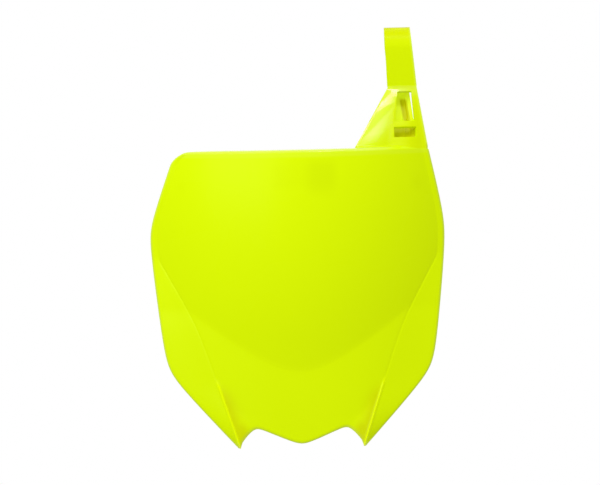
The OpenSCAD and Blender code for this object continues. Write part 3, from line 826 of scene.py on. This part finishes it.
def plasticMaterial(name, flow, scratches, marked):
    mat = bpy.data.materials.new(name)
    mat.use_nodes = True
    tree = mat.node_tree
    shader = tree.nodes["Principled BSDF"]
    shader.inputs["Specular IOR Level"].default_value = plastic["specular"]
    shader.inputs["Coat Roughness"].default_value = plastic["coatRough"]
    # painted glow: the plastic gives off a faint light of its own, which lifts its shaded parts
    faint = tuple(c * plastic["glowShare"] for c in plastic["glow"])
    shader.inputs["Emission Color"].default_value = (*faint, 1)
    shader.inputs["Emission Strength"].default_value = plastic["glowLevel"]
    position = tree.nodes.new("ShaderNodeTexCoord").outputs["Object"]
    flowNode, scratchNode = tree.nodes.new("ShaderNodeGroup"), tree.nodes.new("ShaderNodeGroup")
    flowNode.node_tree, scratchNode.node_tree = flow, scratches
    for node in (flowNode, scratchNode):
        tree.links.new(position, node.inputs["Vector"])
    cloud, scratchOut = flowNode.outputs["Cloud"], scratchNode.outputs["Scratches"]
    streaked = mathNode(tree, "MULTIPLY", flowNode.outputs["Flow"], plastic["flowShare"])
    colour = mixColours(tree, streaked, plastic["base"], plastic["flowTint"])
    rough = mathNode(tree, "MULTIPLY_ADD", cloud, plastic["roughFlow"], plastic["rough"])
    rough = mathNode(tree, "MULTIPLY_ADD", scratchOut, plastic["roughScratch"], rough)
    if marked:
        marks = {}
        for label in ("rim", "shine", "shade", "lit"):
            node = tree.nodes.new("ShaderNodeAttribute")
            node.attribute_name = label
            marks[label] = node.outputs["Fac"]
        # painted shade of the stay box and pegs behind the wall
        colour = mixColours(tree, ghostShadeMask(tree, position, cloud), colour, plastic["ghostShadeTint"])
        colour = mixColours(tree, marks["shade"], colour, plastic["shadeTint"])
        # painted sheen: a pale, whitish tint on the lip, the rolled rims, the web above the window and the tail
        # stands in for highlights; the rims are also rougher
        paleSheen = mathNode(tree, "MULTIPLY_ADD", cloud, *plastic["rimCloud"])
        paleSheen = mathNode(tree, "MULTIPLY", paleSheen, mathNode(tree, "MULTIPLY", marks["rim"], plastic["rimShare"]))
        colour = mixColours(tree, paleSheen, colour, plastic["rimSheenTint"])
        rough = mathNode(tree, "MULTIPLY_ADD", marks["rim"], plastic["roughRim"], rough)
        # painted glow, stronger where 'lit' is marked: a painted highlight on the fin ridges and painted light
        # on the tail behind the web
        glow = mixColours(tree, marks["lit"], faint, plastic["glow"])
        tree.links.new(glow, shader.inputs["Emission Color"])
        shine = mathNode(tree, "MULTIPLY_ADD", cloud, *plastic["shineCloud"])
        shine = mathNode(tree, "MULTIPLY", mathNode(tree, "MULTIPLY", marks["shine"], shine), plastic["shine"])
        tree.links.new(shine, shader.inputs["Coat Weight"])
    grain = tree.nodes.new("ShaderNodeTexNoise")
    grain.inputs["Scale"].default_value = plastic["grainScale"]
    grain.inputs["Detail"].default_value = plastic["grainDetail"]
    tree.links.new(position, grain.inputs["Vector"])
    height = mathNode(tree, "MULTIPLY_ADD", scratchOut, -plastic["scratchShare"], grain.outputs["Fac"])
    bump = tree.nodes.new("ShaderNodeBump")
    bump.inputs["Strength"].default_value = plastic["grainBump"]
    bump.inputs["Distance"].default_value = plastic["grainDeep"]
    tree.links.new(height, bump.inputs["Height"])
    tree.links.new(bump.outputs["Normal"], shader.inputs["Normal"])
    tree.links.new(colour, shader.inputs["Base Color"])
    tree.links.new(rough, shader.inputs["Roughness"])
    return mat


flow, scratches = flowGroup(), scratchGroup()
boardPiece.data.materials.append(plasticMaterial("fluoPlastic", flow, scratches, True))
ribPlastic = plasticMaterial("ribPlastic", flow, scratches, False)
for piece in (stayPiece, footPiece, pegPiece):
    piece.data.materials.append(ribPlastic)
print("plastic: flow marks, scratches, rim, ghost of the stay")

# White surroundings: the floor keeps the shadow, the world is white to camera and gloss only
studio = {"ambient": 0.57, "floorDrop": 0.75, "floorSize": 5.0, "floorColour": 0.8, "floorRough": 0.9,
          "floorLift": 0.55}


def seenDirectly(tree):  # 1 for the camera, for gloss and for what passes through
    path = tree.nodes.new("ShaderNodeLightPath").outputs
    return mathNode(tree, "MAXIMUM", path["Is Camera Ray"],
                    mathNode(tree, "MAXIMUM", path["Is Glossy Ray"], path["Is Transmission Ray"]))


world = bpy.data.worlds.new("studio")
bpy.context.scene.world = world
world.use_nodes = True
tree = world.node_tree
background = tree.nodes["Background"]
background.inputs["Color"].default_value = (1, 1, 1, 1)
tree.links.new(mathNode(tree, "MULTIPLY_ADD", seenDirectly(tree), 1 - studio["ambient"], studio["ambient"]),
               background.inputs["Strength"])

lights = {
    "key": {"from": (-0.49, -0.76, 0.66), "size": 0.7, "power": 6.5},
    "top": {"from": (0.235, -0.418, 1.10), "size": 0.27, "power": 2.9},
    "side": {"from": (0.495, -0.446, 1.0), "size": 0.19, "power": 0.55},
    "back": {"from": (0.9, 1.3, 0.9), "size": 1.0, "power": 8.0},
}
middle = (cadBox[0] + cadBox[1]) / 2
for name, l in lights.items():
    lamp = bpy.data.lights.new(name, "AREA")
    lamp.shape = "SQUARE"
    lamp.size = l["size"]
    lamp.energy = l["power"]
    lampPiece = bpy.data.objects.new(name, lamp)
    bpy.context.scene.collection.objects.link(lampPiece)
    lampPiece.location = middle + Vector(l["from"])
    lampPiece.rotation_mode = "QUATERNION"
    lampPiece.rotation_quaternion = (middle - lampPiece.location).to_track_quat("-Z", "Y")
    lampPiece.visible_camera = False

# Pale floor, well below: lit and shaded as any floor, and lifted to white for the camera and for gloss
bm = bmesh.new()
bmesh.ops.create_grid(bm, x_segments=1, y_segments=1, size=studio["floorSize"] / 2)
bmesh.ops.translate(bm, verts=bm.verts[:], vec=(middle.x, middle.y, cadBox[0].z - studio["floorDrop"]))
floorMesh = bpy.data.meshes.new("floor")
bm.to_mesh(floorMesh)
bm.free()
floor = bpy.data.objects.new("floor", floorMesh)
bpy.context.scene.collection.objects.link(floor)
floorPaint = bpy.data.materials.new("floorPaint")
floorPaint.use_nodes = True
tree = floorPaint.node_tree
matt = tree.nodes["Principled BSDF"]
matt.inputs["Base Color"].default_value = (studio["floorColour"],) * 3 + (1,)
matt.inputs["Roughness"].default_value = studio["floorRough"]
lift = tree.nodes.new("ShaderNodeEmission")
tree.links.new(mathNode(tree, "MULTIPLY", seenDirectly(tree), studio["floorLift"]), lift.inputs["Strength"])
added = tree.nodes.new("ShaderNodeAddShader")
tree.links.new(matt.outputs[0], added.inputs[0])
tree.links.new(lift.outputs[0], added.inputs[1])
tree.links.new(added.outputs[0], tree.nodes["Material Output"].inputs["Surface"])
floorMesh.materials.append(floorPaint)
print("studio: floor, world and", len(lights), "lights")

bpy.context.scene.view_settings.view_transform = "Standard"
